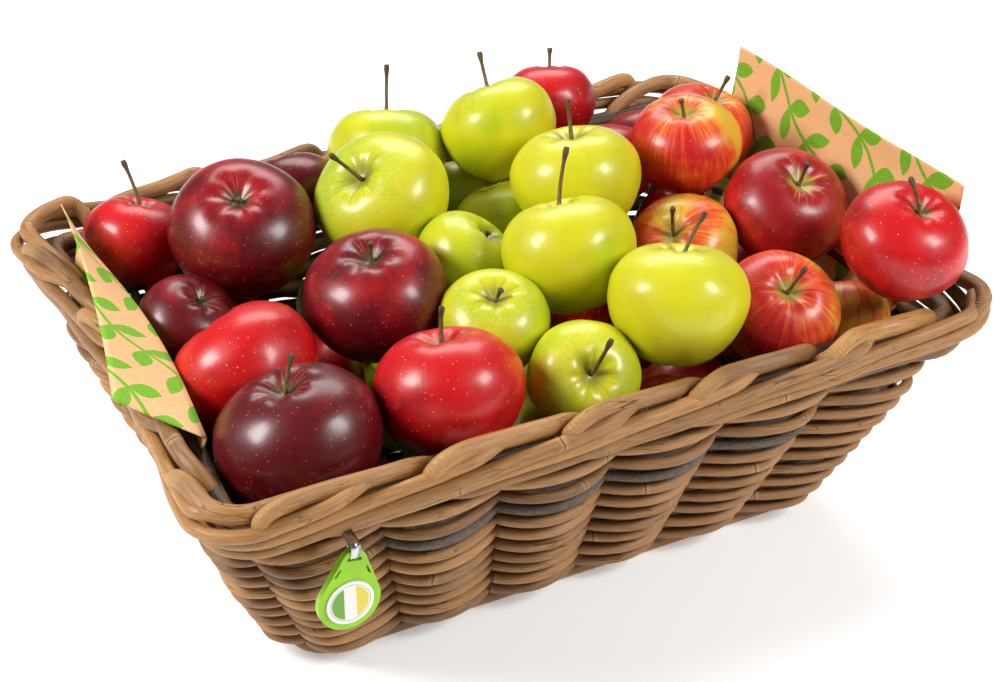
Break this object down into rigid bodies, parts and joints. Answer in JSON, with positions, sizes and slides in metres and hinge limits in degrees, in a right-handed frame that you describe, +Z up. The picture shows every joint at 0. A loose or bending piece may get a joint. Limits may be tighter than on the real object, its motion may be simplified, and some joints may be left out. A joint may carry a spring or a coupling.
{
  "type": "basket of apples",
  "caption": "Woven rattan basket heaped with loose red, dark red, yellow-green and striped apples, with two printed paper liners and a lime-green key-fob tag on the rim.",
  "frame": {"origin": "Centre of the basket's underside, on the surface that it stands on.", "axes": "X along the basket's long side, Y across it with the tagged front facing -Y, Z up."},
  "size_m": [0.4908, 0.3647, 0.2359],
  "materials": {
    "weathered_rattan": "satin",
    "polished_rattan": "satin",
    "crimson_skin": "gloss",
    "burgundy_skin": "gloss",
    "golden_skin": "gloss",
    "striped_skin": "gloss",
    "kraft_paper": "matte",
    "lime_plastic": "gloss",
    "clip_steel": "brushed",
    "label_gloss": "gloss"
  },
  "bodies": {
    "root": {"burgundy_back_left_apple": "burgundy_skin", "burgundy_centre_apple": "burgundy_skin", "burgundy_front_left_apple": "burgundy_skin", "burgundy_left_deep_apple": "burgundy_skin", "burgundy_top_left_apple": "burgundy_skin", "crimson_back_centre_apple": "crimson_skin", "crimson_back_right_apple": "crimson_skin", "crimson_back_right_deep_apple": "crimson_skin", "crimson_front_apple": "crimson_skin", "crimson_left_apple": "crimson_skin", "crimson_left_back_apple": "crimson_skin", "crimson_right_apple": "crimson_skin", "floor_apple_01": "burgundy_skin", "floor_apple_02": "crimson_skin", "floor_apple_03": "golden_skin", "floor_apple_04": "golden_skin", "floor_apple_05": "golden_skin", "floor_apple_06": "golden_skin", "floor_apple_07": "striped_skin", "floor_apple_08": "crimson_skin", "foot_rod": "polished_rattan", "golden_back_centre_apple": "golden_skin", "golden_back_deep_apple": "golden_skin", "golden_back_left_apple": "golden_skin", "golden_centre_deep_apple": "golden_skin", "golden_centre_front_apple": "golden_skin", "golden_centre_left_apple": "golden_skin", "golden_centre_right_apple": "golden_skin", "golden_centre_top_apple": "golden_skin", "golden_front_deep_apple": "golden_skin", "golden_front_open_apple": "golden_skin", "golden_front_right_apple": "golden_skin", "left_paper": "kraft_paper", "middle_apple_09": "burgundy_skin", "middle_apple_10": "crimson_skin", "middle_apple_11": "golden_skin", "middle_apple_12": "crimson_skin", "middle_apple_13": "striped_skin", "middle_apple_14": "crimson_skin", "middle_apple_15": "burgundy_skin", "middle_apple_16": "golden_skin", "middle_apple_17": "striped_skin", "middle_apple_18": "crimson_skin", "middle_apple_19": "golden_skin", "middle_apple_20": "crimson_skin", "middle_apple_21": "striped_skin", "middle_apple_22": "crimson_skin", "right_paper": "kraft_paper", "rolled_border": "polished_rattan", "striped_back_right_apple": "striped_skin", "striped_centre_back_apple": "striped_skin", "striped_centre_right_apple": "striped_skin", "striped_front_right_apple": "striped_skin", "striped_right_apple": "striped_skin", "striped_right_low_apple": "striped_skin", "tag_clip": "clip_steel", "tag_fob": "lime_plastic", "tag_label": "label_gloss", "wale_rods": "polished_rattan", "woven_tub": "weathered_rattan"}
  },
  "joints": []
}
